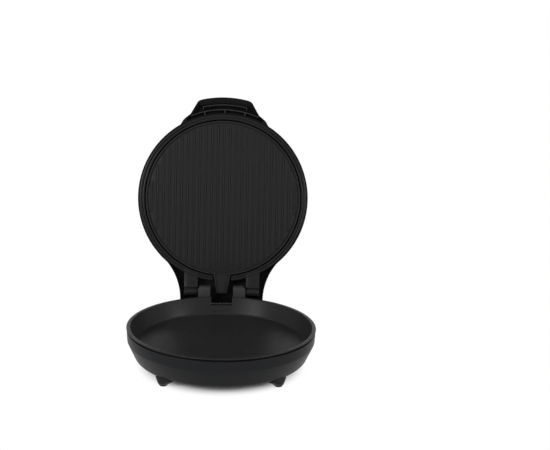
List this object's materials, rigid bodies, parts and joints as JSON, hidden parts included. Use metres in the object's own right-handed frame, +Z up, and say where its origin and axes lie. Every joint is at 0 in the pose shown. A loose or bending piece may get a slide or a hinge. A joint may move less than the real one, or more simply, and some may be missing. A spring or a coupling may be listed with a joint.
{
  "type": "electric pizza maker",
  "caption": "Round electric pizza maker: a deep non-stick baking pan in a black housing on feet, and a rear-hinged lid with a ribbed heating plate and a moulded front handle.",
  "frame": {"origin": "on the table, under the middle of the box of the object with its lid open", "axes": "+Z up; +Y from the front with the handle side of the shut lid to the hinge at the back; +X to the right, seen from the front"},
  "size_m": [0.33, 0.4508, 0.4436],
  "materials": {
    "black_plastic": "fine matt grain, black",
    "black_plastic_inner": "matt black, a little darker than the shells",
    "nonstick_coating": "cast aluminium under a granular dark grey non-stick coating",
    "black_rubber": "matt",
    "dull_steel": "dull, slightly oxidised",
    "bright_steel": "bright rolled sheet",
    "white_ceramic": "glazed, off-white",
    "red_lens": "clear red, polished",
    "green_lens": "clear green, polished"
  },
  "bodies": {
    "base": {"base_housing": "black_plastic", "bottom_cover": "black_plastic", "foot_front_left": "black_plastic", "foot_front_right": "black_plastic", "foot_rear_left": "black_plastic", "foot_rear_right": "black_plastic", "baking_pan": "nonstick_coating", "cord_gland": "black_rubber", "foot_pad_front_left": "black_rubber", "foot_pad_front_right": "black_rubber", "foot_pad_rear_left": "black_rubber", "foot_pad_rear_right": "black_rubber", "cover_screw_1": "dull_steel", "cover_screw_2": "dull_steel", "cover_screw_3": "dull_steel", "cover_screw_4": "dull_steel", "hinge_pin_left": "dull_steel", "hinge_pin_right": "dull_steel", "lower_element": "dull_steel", "lower_element_clamp": "bright_steel", "lower_heat_shield": "bright_steel", "lower_thermostat": "white_ceramic", "lower_thermal_fuse": "white_ceramic", "terminal_block": "white_ceramic"},
    "lid": {"lid_shell": "black_plastic", "lid_frame": "black_plastic_inner", "handle_liner": "black_plastic_inner", "handle_screw_left": "dull_steel", "handle_screw_right": "dull_steel", "indicator_holder": "black_plastic_inner", "indicator_lens_power": "red_lens", "indicator_lens_ready": "green_lens", "plate_screw_1": "dull_steel", "plate_screw_2": "dull_steel", "plate_screw_3": "dull_steel", "upper_plate": "nonstick_coating", "upper_element": "dull_steel", "upper_element_clamp": "bright_steel", "upper_heat_shield": "bright_steel", "upper_thermostat": "white_ceramic", "upper_thermal_fuse": "white_ceramic"}
  },
  "joints": [
    {"name": "lid_hinge", "type": "hinge", "parent": "base", "child": "lid", "pos_m": [0, 0.12363, 0.072], "axis": [1, 0, 0], "range_deg": [0, 102]}
  ]
}
